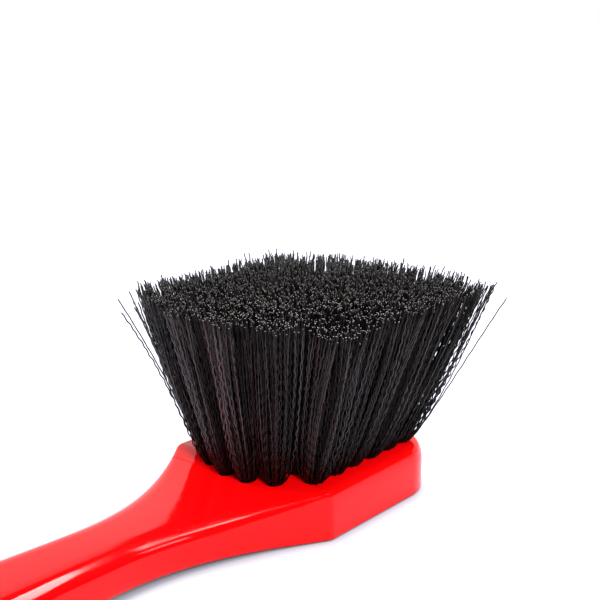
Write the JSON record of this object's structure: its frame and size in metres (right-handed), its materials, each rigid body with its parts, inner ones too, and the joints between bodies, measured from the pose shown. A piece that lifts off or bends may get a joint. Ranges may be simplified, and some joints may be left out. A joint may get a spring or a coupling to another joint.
{
  "type": "wheel brush",
  "caption": "Hand-held wheel cleaning brush: a wide head of flared, crimped bristle tufts on a moulded plastic block that narrows into a slim handle with a hanging hole.",
  "frame": {"origin": "on the head's flat back, under the middle of the tuft field", "axes": "+Z out of the face, along the bristles; +X from the handle towards the toe of the head; the brush lies on its back with the bristles up"},
  "size_m": [0.2314, 0.0916, 0.0735],
  "materials": {
    "red_plastic": "smooth moulded gloss",
    "black_bristle": "crimped filament, low sheen"
  },
  "bodies": {
    "root": {"handle_block": "red_plastic", "tuft_row1_1": "black_bristle", "tuft_row1_2": "black_bristle", "tuft_row1_3": "black_bristle", "tuft_row1_4": "black_bristle", "tuft_row1_5": "black_bristle", "tuft_row1_6": "black_bristle", "tuft_row2_1": "black_bristle", "tuft_row2_2": "black_bristle", "tuft_row2_3": "black_bristle", "tuft_row2_4": "black_bristle", "tuft_row2_5": "black_bristle", "tuft_row2_6": "black_bristle", "tuft_row2_7": "black_bristle", "tuft_row3_1": "black_bristle", "tuft_row3_2": "black_bristle", "tuft_row3_3": "black_bristle", "tuft_row3_4": "black_bristle", "tuft_row3_5": "black_bristle", "tuft_row3_6": "black_bristle", "tuft_row3_7": "black_bristle", "tuft_row3_8": "black_bristle", "tuft_row4_1": "black_bristle", "tuft_row4_2": "black_bristle", "tuft_row4_3": "black_bristle", "tuft_row4_4": "black_bristle", "tuft_row4_5": "black_bristle", "tuft_row4_6": "black_bristle", "tuft_row4_7": "black_bristle", "tuft_row4_8": "black_bristle", "tuft_row5_1": "black_bristle", "tuft_row5_2": "black_bristle", "tuft_row5_3": "black_bristle", "tuft_row5_4": "black_bristle", "tuft_row5_5": "black_bristle", "tuft_row5_6": "black_bristle", "tuft_row5_7": "black_bristle", "tuft_row6_1": "black_bristle", "tuft_row6_2": "black_bristle", "tuft_row6_3": "black_bristle", "tuft_row6_4": "black_bristle", "tuft_row6_5": "black_bristle", "tuft_row6_6": "black_bristle"}
  },
  "joints": []
}
